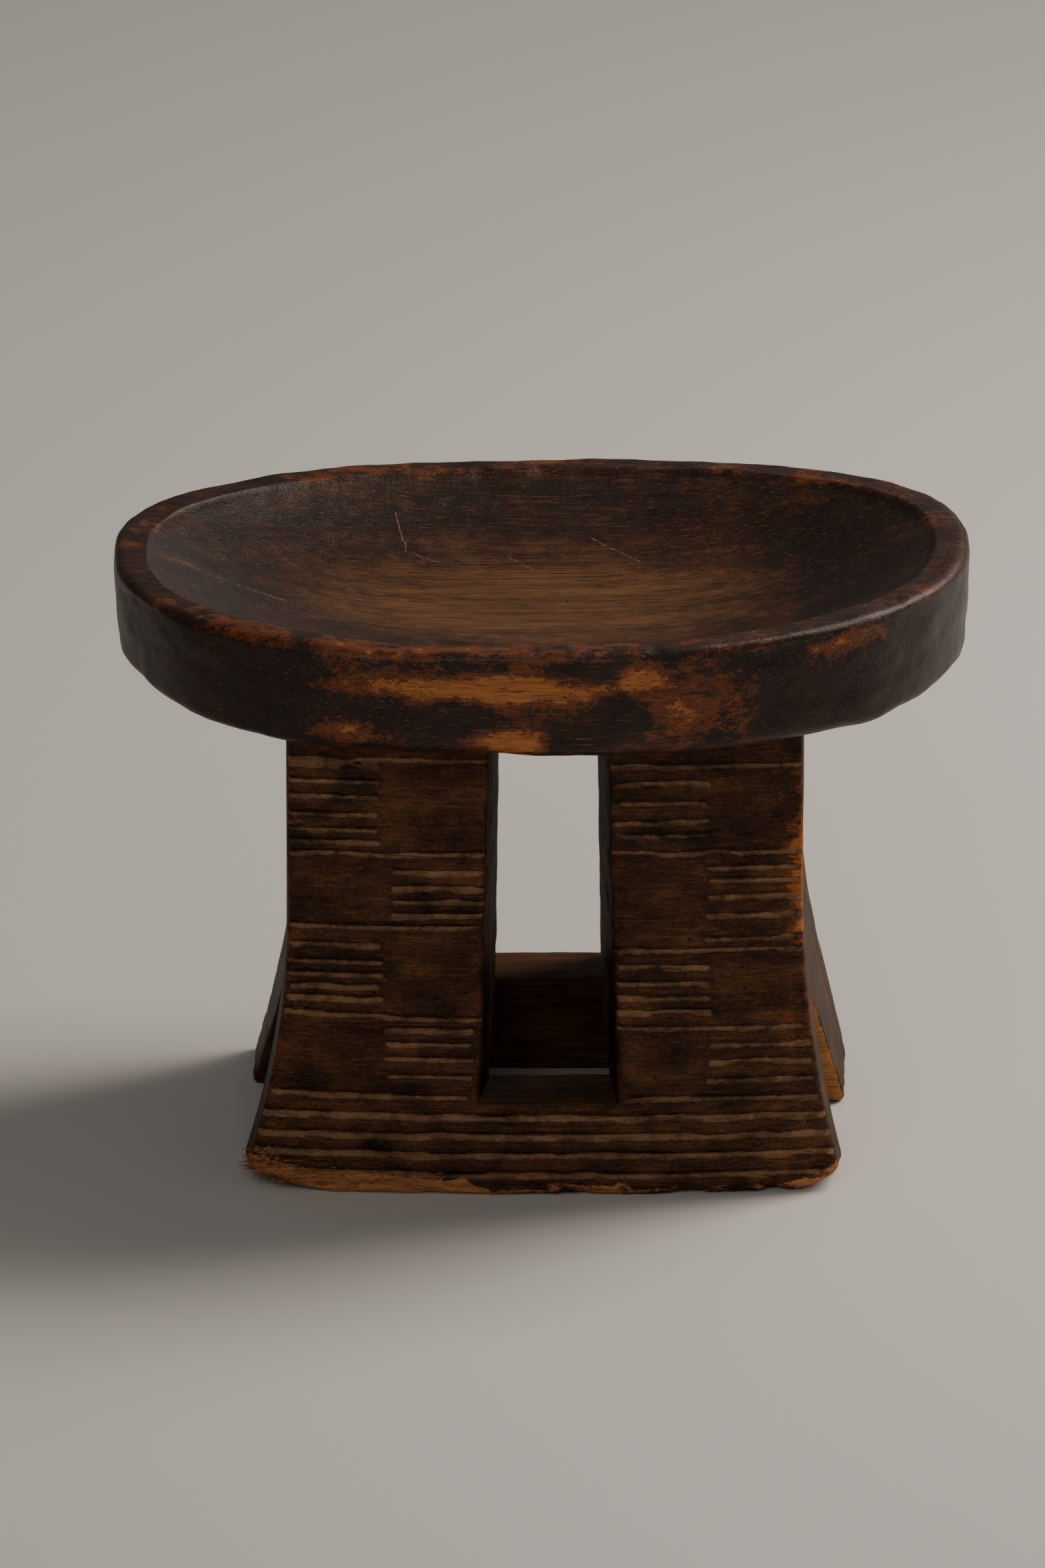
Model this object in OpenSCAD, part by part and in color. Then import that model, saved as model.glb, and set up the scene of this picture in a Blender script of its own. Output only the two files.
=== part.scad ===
// Carved headrest: an oval dish on a pierced, flared stand.
// Every member is cut from one block, so the nodes meet face to face with no pins or glue.

/* [Dish] */
// Length of the dish along X
dish_length = 328; // [300:1:360]
// Depth of the dish, front to back
dish_depth = 237; // [215:1:255]
// Height of the rim above the floor, at its middle
rim_height = 231; // [226:0.5:242]
// Thickness of the dish block, from rim to underside
dish_thick = 43; // [38:1:46]
// Width of the flat rim
rim_width = 13.5; // [10:0.5:18]
// Depth of the hollow below the rim
hollow_depth = 28; // [18:1:32]
// How far behind the middle the dish is widest
widest_back = 8; // [0:1:16]
// Rise of the rim at its two ends
end_rise = 2.5; // [0:0.5:4]
// How much higher the right end of the rim is than its middle
rim_lean = 2.5; // [0:0.5:4]
// How much higher the front of the rim is than its middle, and the back lower
rim_tip = 1.5; // [0:0.5:3]
// How far the underside curls up at the two ends
end_lift = 6.5; // [0:0.5:16]

/* [Stand] */
// Half width of the stand under the dish
stand_half_top = 98; // [92:1:104]
// How much further each side reaches at the floor
stand_flare = 18.5; // [8:0.5:24]
// Height at which the flare starts
flare_height = 115; // [80:5:130]
// Half depth of the stand at its middle
stand_half_depth = 85; // [78:1:92]
// How far the front and back faces bow out over their width
face_bow = 7.5; // [4:0.5:12]
// Height of the sills under the windows
sill_height = 38.5; // [32:0.5:42]
// Front-to-back thickness of each sill
sill_depth = 32; // [24:1:38]

/* [Window] */
// Width of the window mouth at its top
mouth_top = 45; // [40:1:54]
// Width of the window mouth at the sill
mouth_bottom = 54; // [46:1:60]
// Width of the passage half-way through
waist = 40; // [34:1:40]
// How far the window lies to the right of the middle
window_shift = 2; // [-4:0.5:4]

/* [Side arch] */
// Middle of the arch at the floor, front to back
arch_middle = -9; // [-12:1:0]
// Width of the arch at the floor
arch_width = 72; // [60:1:76]
// Height of the crown above the floor
arch_height = 66; // [52:1:72]
// How far forward of its middle the arch has its crown
arch_lead = 19; // [0:1:24]
// Slant of the arch across the stand, in degrees
arch_turn = -5; // [-6:1:6]

/* [Incised lines] */
// Width of a cut line at the surface
line_width = 2.6; // [1.6:0.1:3.2]
// Depth of a cut line
line_depth = 1; // [0.6:0.1:1.4]

/* [Hidden] */

$fn = 96;
far = 400;

dish_under = rim_height - dish_thick;
waist_half = 30;
split_x_left = window_shift - mouth_bottom / 2;
split_x_right = window_shift + mouth_bottom / 2;
// The bowed faces are upright cylinders with this radius.
bow_reach = stand_half_top + stand_flare;
bow_radius = (bow_reach * bow_reach + face_bow * face_bow) / (2 * face_bow);
arch_crown = arch_middle - arch_lead;
arch_front = arch_middle - arch_width / 2;
arch_back = arch_middle + arch_width / 2;

// Colours of the bare and the blackened wood
dark_wood = [0.16, 0.09, 0.06];
warm_wood = [0.30, 0.16, 0.09];

// Incised blocks of one post: [column, z of the top line, pitch, lines].
// Column 0 is the one nearer the window, column 1 the outer one.
left_blocks = [[1, 168.4, 6.2, 5], [0, 131, 5.8, 4], [1, 101.9, 5.45, 5], [0, 66.8, 6.3, 4]];
right_blocks = [[0, 166.6, 7, 4], [1, 133.2, 7.1, 5], [0, 92.4, 6, 4], [1, 61.3, 7.1, 3]];
// Lines that run across a whole post, and across a whole foot and sill
left_lines = [176.6, 138.6, 109, 72.2];
right_lines = [174, 139, 99.5, 67.6];
foot_lines = [30.8, 23.7, 16.1, 7.6];
// Where the two columns of a post meet, and the margins that the lines stop short of
column_x_left = -59.5;
column_x_right = 61.5;
line_margin = 2;

// ---- Shared functions ----

// Signed power, for the outline's superellipse
function spow(v, p) = sign(v) * pow(abs(v), p);

// A point of the dish outline at angle t, with the outline drawn in by inset.
// The back is squarer than the front, and most so on the left.
function outline_point(t, inset) =
    let (
        front = sin(t) < 0,
        square = front ? 2.25 : 2.45 - 0.1 * cos(t),
        reach = dish_depth / 2 + (front ? widest_back : -widest_back) - inset,
        half = dish_length / 2 - inset
    )
    [half * spow(cos(t), 2 / square), widest_back + reach * spow(sin(t), 2 / square)];

// Height of the rim at point p above its level in the middle
function rise(p) =
    end_rise * pow(2 * p[0] / dish_length, 2)
    + rim_lean * 2 * p[0] / dish_length
    - rim_tip * 2 * p[1] / dish_depth;

// Height of the underside above its level over the stand
function lift(x) = end_lift * pow(abs(2 * x / dish_length), 14);

// Half width of the stand at height z
function stand_half(z) =
    stand_half_top + stand_flare * pow(max(0, 1 - z / flare_height), 1.9);

// ---- Dish ----

steps = 72;
hollow_rings = 9;

// Rings of the dish from the underside up and over the rim:
// [inset, z, share of the rim's rise, share of the underside's lift]
outer_rings = [
    [60, dish_under, 0, 0],
    [9, dish_under, 0, 1],
    [4, dish_under + 1.2, 0, 0.9],
    [1.5, dish_under + 5, 0, 0.7],
    [0.6, dish_under + 12, 0, 0.4],
    [0, dish_under + 24, 0.5, 0.1],
    [0.3, rim_height - 4, 1, 0],
    [1.4, rim_height - 1.2, 1, 0],
    [3.6, rim_height, 1, 0],
    [rim_width - 1.5, rim_height, 1, 0],
    [rim_width, rim_height - 1, 1, 0]
];

// One ring of points at a constant inset
function ring(r) = [
    for (i = [0 : steps - 1])
        let (p = outline_point(360 * i / steps, r[0]))
        [p[0], p[1], r[1] + r[2] * rise(p) + r[3] * lift(p[0])]
];

// One ring of the hollow, at share s of the way out from the centre
function hollow_ring(s) = [
    for (i = [0 : steps - 1])
        let (
            p = outline_point(360 * i / steps, rim_width),
            drop = hollow_depth * (1 - pow(s, 2.8))
        )
        [p[0] * s, p[1] * s, rim_height - 1 - drop + s * s * rise(p)]
];

// A closed skin over a list of rings, with a fan over each end
module loft(rings) {
    n = len(rings[0]);
    last = len(rings) - 1;
    points = [for (r = rings) each r];
    sides = [
        for (k = [0 : last - 1], i = [0 : n - 1])
            let (j = (i + 1) % n)
            each [
                [k * n + i, (k + 1) * n + i, (k + 1) * n + j],
                [k * n + i, (k + 1) * n + j, k * n + j]
            ]
    ];
    bottom = [[for (i = [0 : n - 1]) i]];
    top = [[for (i = [n - 1 : -1 : 0]) last * n + i]];
    polyhedron(points = points, faces = concat(bottom, sides, top), convexity = 6);
}

module dish() {
    hollow = [for (k = [hollow_rings - 1 : -1 : 1]) hollow_ring(k / hollow_rings)];
    color(warm_wood)
        loft(concat([for (r = outer_rings) ring(r)], hollow));
}

// ---- Stand ----

// Flared outline of the stand, seen from the front
module stand_outline() {
    levels = [for (k = [0 : 12]) flare_height * k / 12];
    right = [for (z = levels) [stand_half(z), z]];
    left = [for (k = [12 : -1 : 0]) [-stand_half(levels[k]), levels[k]]];
    polygon(concat(right, [[stand_half_top, dish_under], [-stand_half_top, dish_under]], left));
}

// The whole stand with its bowed front and back, before anything is cut through it
module stand_block() {
    intersection() {
        rotate([90, 0, 0])
            linear_extrude(height = 2 * far, center = true) stand_outline();
        translate([0, bow_radius - stand_half_depth, 0])
            cylinder(r = bow_radius, h = far, $fn = 256);
        translate([0, stand_half_depth - bow_radius, 0])
            cylinder(r = bow_radius, h = far, $fn = 256);
    }
}

// Window seen from the front: a little wider at the sill than under the dish
module window_outline() {
    polygon([
        [window_shift - mouth_bottom / 2, sill_height],
        [window_shift + mouth_bottom / 2, sill_height],
        [window_shift + mouth_top / 2, dish_under],
        [window_shift + mouth_top / 2, dish_under + 1],
        [window_shift - mouth_top / 2, dish_under + 1],
        [window_shift - mouth_top / 2, dish_under]
    ]);
}

// Window seen from above: it narrows from both mouths to a waist in the middle
module window_plan() {
    wide = mouth_bottom / 2 + 1;
    reach = stand_half_depth + 1;
    polygon([
        [window_shift - wide, -reach], [window_shift + wide, -reach],
        [window_shift + waist / 2, -waist_half], [window_shift + waist / 2, waist_half],
        [window_shift + wide, reach], [window_shift - wide, reach],
        [window_shift - waist / 2, waist_half], [window_shift - waist / 2, -waist_half]
    ]);
}

module window() {
    intersection() {
        rotate([90, 0, 0])
            linear_extrude(height = 2 * far, center = true) window_outline();
        linear_extrude(height = far) window_plan();
    }
}

// Side view of the arch that separates the front feet from the back feet
module arch_outline() {
    quarter = [for (k = [0 : 12]) 90 * k / 12];
    back = [
        for (t = quarter)
            [arch_crown + (arch_back - arch_crown) * pow(cos(t), 1.6), arch_height * pow(sin(t), 1.6)]
    ];
    front = [
        for (t = quarter)
            [arch_crown + (arch_front - arch_crown) * pow(sin(t), 0.7), arch_height * pow(cos(t), 0.7)]
    ];
    polygon(concat([[arch_back, -1]], back, front, [[arch_front, -1]]));
}

module arch() {
    rotate([90, 0, 90 + arch_turn])
        linear_extrude(height = 2 * far, center = true) arch_outline();
}

// A box between two x values and two z values, through the whole depth
module slab(x0, x1, z0, z1) {
    translate([x0, -far, z0]) cube([x1 - x0, 2 * far, z1 - z0]);
}

// One cut line that follows the bow of the front (side -1) or back (side 1) face
module cut_line(side, x0, x1, z) {
    from = asin(x0 / bow_radius);
    to = asin(x1 / bow_radius);
    translate([0, side * (stand_half_depth - bow_radius), z])
        rotate([0, 0, side < 0 ? -90 + from : 90 - to])
            rotate_extrude(angle = to - from, $fn = 256)
                translate([bow_radius + line_width / 2 - line_depth, 0])
                    circle(d = line_width, $fn = 16);
}

// All the lines of one post, on one face
module post_lines(side, blocks, lines, x_inner, x_column, x_outer) {
    for (b = blocks, k = [0 : b[3] - 1]) {
        ends = b[0] == 0 ? [x_inner, x_column] : [x_column, x_outer];
        cut_line(side, min(ends) + line_margin, max(ends) - line_margin, b[1] - k * b[2]);
    }
    for (z = lines)
        cut_line(side, min(x_inner, x_outer) + line_margin, max(x_inner, x_outer) - line_margin, z);
}

module left_post() {
    color(dark_wood) difference() {
        intersection() {
            stand_block();
            slab(-far, window_shift, sill_height, dish_under);
        }
        window();
        arch();
        for (side = [-1, 1])
            post_lines(side, left_blocks, left_lines,
                window_shift - mouth_top / 2, column_x_left, -stand_half_top);
    }
}

module right_post() {
    color(dark_wood) difference() {
        intersection() {
            stand_block();
            slab(window_shift, far, sill_height, dish_under);
        }
        window();
        arch();
        for (side = [-1, 1])
            post_lines(side, right_blocks, right_lines,
                window_shift + mouth_top / 2, column_x_right, stand_half_top);
    }
}

// The part of one foot or sill between two x values, on the front (side -1) or back (side 1)
module runner_part(side, x0, x1) {
    color(warm_wood) difference() {
        intersection() {
            stand_block();
            slab(x0, x1, 0, sill_height);
            translate([-far, side < 0 ? -far : arch_crown, -far])
                cube([2 * far, side < 0 ? far + arch_crown : far, 2 * far]);
        }
        arch();
        for (z = foot_lines)
            cut_line(side, x0 < -far / 2 ? -stand_half(z) + line_margin : x0,
                x1 > far / 2 ? stand_half(z) - line_margin : x1, z);
        children();
    }
}

// Space between the two sills
module well() {
    inner = stand_half_depth - sill_depth;
    translate([split_x_left, -inner, -1])
        cube([mouth_bottom, 2 * inner, sill_height + 2]);
}

module front_sill() { runner_part(-1, split_x_left, split_x_right) well(); }
module front_left_foot() { runner_part(-1, -far, split_x_left) union() {} }
module front_right_foot() { runner_part(-1, split_x_right, far) union() {} }
module back_sill() { runner_part(1, split_x_left, split_x_right) well(); }
module back_left_foot() { runner_part(1, -far, split_x_left) union() {} }
module back_right_foot() { runner_part(1, split_x_right, far) union() {} }

dish();
left_post();
right_post();
front_sill();
front_left_foot();
front_right_foot();
back_sill();
back_left_foot();
back_right_foot();
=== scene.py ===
"""Builds the looks of a headrest carved from one block of dark hardwood.

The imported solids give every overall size. Here the dish and the stand are carved again as dense
surfaces, with hand-cut lines, tool marks, worn edges, bare wood and torn fibres, and dressed in
procedural wood. Lengths in this file are millimetres unless a name or a comment says otherwise.
"""

import itertools
import logging
import math
from dataclasses import dataclass, field
from enum import Enum
from functools import partial
from typing import Any, Callable, Sequence

import bmesh
import bpy
import numpy as np
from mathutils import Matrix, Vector


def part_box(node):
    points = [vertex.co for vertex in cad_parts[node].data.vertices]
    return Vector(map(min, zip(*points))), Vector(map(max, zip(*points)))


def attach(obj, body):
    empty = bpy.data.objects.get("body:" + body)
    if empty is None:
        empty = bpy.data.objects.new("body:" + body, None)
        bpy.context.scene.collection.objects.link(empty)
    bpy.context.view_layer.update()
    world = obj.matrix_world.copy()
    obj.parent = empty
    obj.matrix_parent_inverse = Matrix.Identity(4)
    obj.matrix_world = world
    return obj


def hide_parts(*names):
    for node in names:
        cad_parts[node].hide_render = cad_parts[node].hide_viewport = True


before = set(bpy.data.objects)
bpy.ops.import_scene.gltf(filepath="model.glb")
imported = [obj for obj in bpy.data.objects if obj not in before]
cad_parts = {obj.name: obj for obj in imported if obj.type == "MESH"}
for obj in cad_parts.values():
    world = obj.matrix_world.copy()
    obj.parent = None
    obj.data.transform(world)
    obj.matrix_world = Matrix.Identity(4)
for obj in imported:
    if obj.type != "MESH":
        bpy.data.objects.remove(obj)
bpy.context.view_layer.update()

LOG = logging.getLogger("headrest")
MM = 0.001
BODY = "root"


# ---------------------------------------------------------------------------------------------
# Small shared tools
# ---------------------------------------------------------------------------------------------


def linear(hex_colour: str) -> tuple[float, float, float, float]:
    """Turns an sRGB hex colour into a linear one.

    Args:
        hex_colour: six hex digits, with or without a leading hash.

    Returns:
        Linear red, green and blue, and an alpha of 1.
    """
    digits = hex_colour.lstrip("#")
    channels = [int(digits[i : i + 2], 16) / 255 for i in (0, 2, 4)]
    curve = [c / 12.92 if c <= 0.04045 else ((c + 0.055) / 1.055) ** 2.4 for c in channels]
    return curve[0], curve[1], curve[2], 1.0


def add_node(
    tree: bpy.types.NodeTree, kind: str, inputs: dict[Any, Any] | None = None, **settings: Any
) -> bpy.types.Node:
    """Adds a node with its settings and links.

    Args:
        tree: the node tree that receives the node.
        kind: the node's type name.
        inputs: socket name or number to a constant, a socket, or a node whose first output in use
            feeds it.
        settings: the node's own attributes.

    Returns:
        The new node.
    """
    node = tree.nodes.new(kind)
    for name, value in settings.items():
        setattr(node, name, value)
    for key, value in (inputs or {}).items():
        if isinstance(value, bpy.types.Node):
            value = next(out for out in value.outputs if out.enabled)
        if isinstance(value, bpy.types.NodeSocket):
            tree.links.new(value, node.inputs[key])
        else:
            node.inputs[key].default_value = value
    return node


def node_box(name: str) -> tuple[np.ndarray, np.ndarray]:
    """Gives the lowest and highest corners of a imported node, in millimetres."""
    low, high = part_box(name)
    return np.array(low) / MM, np.array(high) / MM


def smoothstep(low: float, high: float, value: np.ndarray) -> np.ndarray:
    """Rises smoothly from 0 at low to 1 at high."""
    t = np.clip((value - low) / (high - low), 0.0, 1.0)
    return t * t * (3.0 - 2.0 * t)


def smooth_max(a: np.ndarray, b: np.ndarray, width: Any) -> np.ndarray:
    """Takes the larger of two distance fields, blended over a width.

    Args:
        a: first field.
        b: second field.
        width: distance over which the two blend, a number or an array.

    Returns:
        The blended field.
    """
    h = np.maximum(width - np.abs(a - b), 0.0) / width
    return np.maximum(a, b) + h * h * width * 0.25


def lattice(cells: Sequence[np.ndarray], seed: int) -> np.ndarray:
    """Gives every lattice point its own fixed random value.

    Args:
        cells: whole-number x, y and z of the points.
        seed: picks one of many patterns.

    Returns:
        Values from -1 to 1.
    """
    with np.errstate(over="ignore"):
        h = np.full(cells[0].shape, seed * 668265263 % 2**32, np.uint32)
        for cell, prime in zip(cells, (374761393, 2246822519, 3266489917)):
            h = h ^ (cell.astype(np.int64).astype(np.uint32) * np.uint32(prime))
            h = (h ^ (h >> np.uint32(15))) * np.uint32(739982445)
            h = (h ^ (h >> np.uint32(12))) * np.uint32(695872825)
        h = h ^ (h >> np.uint32(15))
    return (h.astype(np.float64) / 2**31 - 1.0).astype(np.float32)


def wander(coords: Sequence[Any], cell: Sequence[float], seed: int, octaves: int = 1) -> np.ndarray:
    """Smooth random field over x, y and z, for tool marks and other hand irregularities.

    Args:
        coords: x, y and z, as numbers or arrays that broadcast together.
        cell: size of one bump along x, y and z.
        seed: picks one of many patterns.
        octaves: how many finer layers are summed, each half the size and strength.

    Returns:
        Values of about -1 to 1.
    """
    total: Any = 0.0
    for octave in range(octaves):
        scaled = [np.asarray(c, np.float32) * (2.0**octave / s) for c, s in zip(coords, cell)]
        scaled = np.broadcast_arrays(*scaled)
        base = [np.floor(c) for c in scaled]
        part = [c - b for c, b in zip(scaled, base)]
        part = [p * p * p * (p * (p * 6.0 - 15.0) + 10.0) for p in part]
        layer: Any = 0.0
        for corner in itertools.product((0, 1), repeat=3):
            weight = 1.0
            for p, c in zip(part, corner):
                weight = weight * (p if c else 1.0 - p)
            layer = layer + weight * lattice([b + c for b, c in zip(base, corner)], seed + octave)
        total = total + layer * 0.5**octave
    return total


def signed_power(value: np.ndarray, power: np.ndarray) -> np.ndarray:
    """Raises the size of a value to a power and keeps its sign."""
    return np.sign(value) * np.abs(value) ** power


def new_mesh(name: str, points: np.ndarray, faces: Sequence[Sequence[int]]) -> bpy.types.Mesh:
    """Makes a smooth-shaded mesh from points in millimetres.

    Args:
        name: the mesh's name.
        points: one row per vertex.
        faces: vertex numbers of each face.

    Returns:
        The mesh, in metres.
    """
    mesh = bpy.data.meshes.new(name)
    mesh.from_pydata((points * MM).tolist(), [], faces)
    mesh.shade_smooth()
    return mesh


def set_attribute(mesh: bpy.types.Mesh, name: str, values: np.ndarray) -> None:
    """Stores one number per vertex under a name."""
    layer = mesh.attributes.get(name) or mesh.attributes.new(name, "FLOAT", "POINT")
    layer.data.foreach_set("value", np.ascontiguousarray(values, np.float32))


def set_attributes(mesh: bpy.types.Mesh, **marks: np.ndarray) -> None:
    """Stores several marks of the surface, one number per vertex each."""
    for name, values in marks.items():
        set_attribute(mesh, name, values)


def get_attribute(mesh: bpy.types.Mesh, name: str) -> np.ndarray:
    """Reads one number per vertex stored under a name."""
    values = np.empty(len(mesh.vertices), np.float32)
    mesh.attributes[name].data.foreach_get("value", values)
    return values


def get_points(mesh: bpy.types.Mesh) -> np.ndarray:
    """Reads a mesh's vertices in millimetres."""
    flat = np.empty(len(mesh.vertices) * 3, np.float32)
    mesh.vertices.foreach_get("co", flat)
    return flat.reshape(-1, 3).astype(np.float64) / MM


def get_normals(mesh: bpy.types.Mesh) -> np.ndarray:
    """Reads a mesh's vertex normals."""
    flat = np.empty(len(mesh.vertices) * 3, np.float32)
    mesh.vertex_normals.foreach_get("vector", flat)
    return flat.reshape(-1, 3).astype(np.float64)


def put_points(mesh: bpy.types.Mesh, points: np.ndarray) -> None:
    """Moves a mesh's vertices to points given in millimetres."""
    mesh.vertices.foreach_set("co", np.ascontiguousarray(points * MM, np.float32).ravel())
    mesh.update()


def place(mesh: bpy.types.Mesh, name: str, nodes: Sequence[str]) -> None:
    """Puts a finished mesh in the scene as one piece of the object.

    Args:
        mesh: the finished mesh.
        name: the piece's name.
        nodes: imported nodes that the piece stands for.
    """
    piece = bpy.data.objects.new(name, mesh)
    bpy.context.scene.collection.objects.link(piece)
    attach(piece, BODY)
    if nodes:
        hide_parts(*nodes)
    LOG.info("%s: %d vertices, %d faces", name, len(mesh.vertices), len(mesh.polygons))


def carrier(name: str, columns: dict[str, np.ndarray]) -> bpy.types.Object:
    """Makes a helper object whose loose vertices only carry numbers for a node tree.

    Args:
        name: the helper's name.
        columns: attribute name to one value per vertex.

    Returns:
        The helper, which its maker removes again.
    """
    mesh = bpy.data.meshes.new(name)
    mesh.from_pydata([(0.0, 0.0, 0.0)] * len(next(iter(columns.values()))), [], [])
    for label, values in columns.items():
        set_attribute(mesh, label, values)
    helper = bpy.data.objects.new(name, mesh)
    bpy.context.scene.collection.objects.link(helper)
    return helper


def new_tree(name: str, sockets: dict[str, str], output: str) -> bpy.types.NodeTree:
    """Makes an empty geometry node tree.

    Args:
        name: the tree's name.
        sockets: each input's name and its kind, such as Float or Object.
        output: name of the geometry that comes out.

    Returns:
        The tree, which has no nodes yet.
    """
    tree = bpy.data.node_groups.new(name, "GeometryNodeTree")
    for label, kind in sockets.items():
        tree.interface.new_socket(label, in_out="INPUT", socket_type="NodeSocket" + kind)
    tree.interface.new_socket(output, in_out="OUTPUT", socket_type="NodeSocketGeometry")
    return tree


def run_tree(
    host: bpy.types.Object, tree: bpy.types.NodeTree, values: dict[str, Any]
) -> bpy.types.Mesh:
    """Runs a geometry node tree on an object and keeps the result as a plain mesh.

    Args:
        host: the object whose geometry enters the tree.
        tree: the node tree.
        values: input name to value.

    Returns:
        The resulting mesh, which has no modifier and no instances left.
    """
    modifier = host.modifiers.new("tree", "NODES")
    modifier.node_group = tree
    for socket in tree.interface.items_tree:
        if socket.in_out == "INPUT" and socket.name in values:
            modifier[socket.identifier] = values[socket.name]
    graph = bpy.context.evaluated_depsgraph_get()
    graph.update()
    mesh = bpy.data.meshes.new_from_object(host.evaluated_get(graph))
    host.modifiers.remove(modifier)
    return mesh


# ---------------------------------------------------------------------------------------------
# Finishes
# ---------------------------------------------------------------------------------------------


@dataclass(frozen=True)
class Scratch:
    """A hairline on the dish's hollow, from one x and y to another; a dark one is a crack."""

    x0: float
    y0: float
    x1: float
    y1: float
    width: float = 0.32
    dark: bool = False


@dataclass(frozen=True)
class CarvedHardwood:
    """Hand-carved tropical hardwood under an old dark patina, rubbed and worn in layers.

    The grain runs along X, as it did in the block, with fibres under a millimetre wide. Four
    layers show: a brown-black patina that still has a low gloss, red-brown wood where hands have
    rubbed it, orange wood where it is worn through, and dry pale wood where it is cut or torn.
    """

    name: str
    soot_and_shade: str = "#17100B"
    patina: str = "#3D271A"
    patina_light: str = "#5F3E29"
    rubbed: str = "#724124"
    worn_dark: str = "#84481F"
    worn_light: str = "#B87438"
    bare_dark: str = "#824E2A"
    bare_light: str = "#B98354"
    dust_dark: str = "#533A28"
    dust_light: str = "#906D50"
    used_and_painted_light_dark: str = "#3D2517"
    used_and_painted_light_pale: str = "#6E4B2D"
    scratched: str = "#8F6F50"
    polish: float = 0.5
    dull: float = 0.72
    gloss: float = 0.1
    relief: float = 0.4
    dashes: float = 0.4
    blotches: float = 0.55
    hole_spacing: float = 15.0
    hole_edge: float = 0.75
    hole_core: float = 0.5
    scratches: tuple[Scratch, ...] = ()

    def build(self) -> bpy.types.Material:
        """Builds the node material.

        Returns:
            The material, which reads the attributes wear, groove, bare, used and shade.
        """
        material = bpy.data.materials.new(self.name)
        material.use_nodes = True
        tree = material.node_tree
        tree.nodes.clear()
        node = partial(add_node, tree)
        place_at = node("ShaderNodeTexCoord").outputs["Object"]
        mm = node("ShaderNodeMapping", {"Vector": place_at, "Scale": (1 / MM, 1 / MM, 1 / MM)})

        # Name, size of one bump along X, Y and Z in millimetres, detail and roughness.
        grains: dict[str, bpy.types.Node] = {}
        for name, size, detail, rough in (
            ("fibre", (38.0, 0.9, 0.9), 5.0, 0.62),
            ("band", (150.0, 7.0, 7.0), 3.0, 0.5),
            ("dash", (13.0, 0.55, 0.7), 2.0, 0.5),
            ("mottle", (21.0, 17.0, 14.0), 5.0, 0.62),
            ("patch", (5.5, 4.5, 3.8), 5.0, 0.66),
            ("speck", (1.5, 0.9, 0.9), 3.0, 0.6),
        ):
            scaled = node("ShaderNodeMapping", {"Vector": mm, "Scale": tuple(1 / s for s in size)})
            grains[name] = node(
                "ShaderNodeTexNoise",
                {"Vector": scaled, "Scale": 1.0, "Detail": detail, "Roughness": rough},
            )
        marks = {
            name: node("ShaderNodeAttribute", attribute_name=name).outputs["Fac"]
            for name in ("wear", "groove", "bare", "used", "shade")
        }

        # Grain is mostly fibre. Tone is the slow drift from soot to brown over the surface.
        grain = node("ShaderNodeMix", {"Factor": 0.35, 2: grains["fibre"], 3: grains["band"]})
        tone = node("ShaderNodeMix", {"Factor": self.blotches, 2: grain, 3: grains["mottle"]})
        tone = node("ShaderNodeMix", {"Factor": 0.25, 2: tone, 3: grains["speck"]})
        # Painted shade is taken off the tone, which darkens the wood towards soot black.
        tone = node("ShaderNodeMath", {0: tone, 1: marks["shade"]}, operation="SUBTRACT")
        ragged = node("ShaderNodeMix", {"Factor": 0.45, 2: grains["mottle"], 3: grains["patch"]})
        ragged = node("ShaderNodeMix", {"Factor": 0.22, 2: ragged, 3: grains["speck"]})

        # Layer, the mark that brings it, the mark's weight against the ragged noise, where the
        # layer sets in, what drives its tone, and its stops of position and colour. The first
        # layer lies under all the others.
        amounts: dict[str, bpy.types.Node] = {}
        patinas = ((0.38, self.soot_and_shade), (0.49, self.patina), (0.6, self.patina_light))
        for name, mark, weight, low, high, source, stops in (
            ("patina", "", 0, 0, 0, tone, patinas),
            # The used layer lightens handled wood; on the stand it is also painted light in the well
            # and on the sills' tops.
            ("used", "used", 0.5, 0.52, 1.04, grain, ((0.4, self.used_and_painted_light_dark), (0.58, self.used_and_painted_light_pale))),
            ("rubbed", "wear", 1, 0.585, 0.66, grain, ((0.35, self.patina), (0.55, self.rubbed))),
            ("worn", "wear", 1, 0.7, 0.79, grain, ((0.36, self.worn_dark), (0.6, self.worn_light))),
            ("dust", "groove", 1, 1, 1.5, ragged, ((0.4, self.dust_dark), (0.6, self.dust_light))),
            ("bare", "bare", 0.6, 0.8, 0.9, grain, ((0.34, self.bare_dark), (0.6, self.bare_light))),
        ):
            ramp = node("ShaderNodeValToRGB", {"Fac": source})
            elements = ramp.color_ramp.elements
            while len(elements) < len(stops):
                elements.new(0.5)
            for element, (position, tint) in zip(elements, stops):
                element.position, element.color = position, linear(tint)
            if not mark:
                colour = ramp
                continue
            strength = node(
                "ShaderNodeMath", {0: marks[mark], 1: weight, 2: ragged}, operation="MULTIPLY_ADD"
            )
            amounts[name] = node(
                "ShaderNodeMapRange",
                {"Value": strength, "From Min": low, "From Max": high},
                interpolation_type="SMOOTHSTEP",
            )
            colour = node(
                "ShaderNodeMix", {"Factor": amounts[name], 6: colour, 7: ramp}, data_type="RGBA"
            )

        # Short dark dashes are open pores, short light ones are fibres rubbed flat.
        for low, high, strength, tint in (
            (0.4, 0.3, self.dashes + 0.2, self.soot_and_shade),
            (0.6, 0.72, self.dashes, self.worn_dark),
        ):
            amount = node(
                "ShaderNodeMapRange",
                {"Value": grains["dash"], "From Min": low, "From Max": high, "To Max": strength},
            )
            colour = node(
                "ShaderNodeMix", {"Factor": amount, 6: colour, 7: linear(tint)}, data_type="RGBA"
            )

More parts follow.
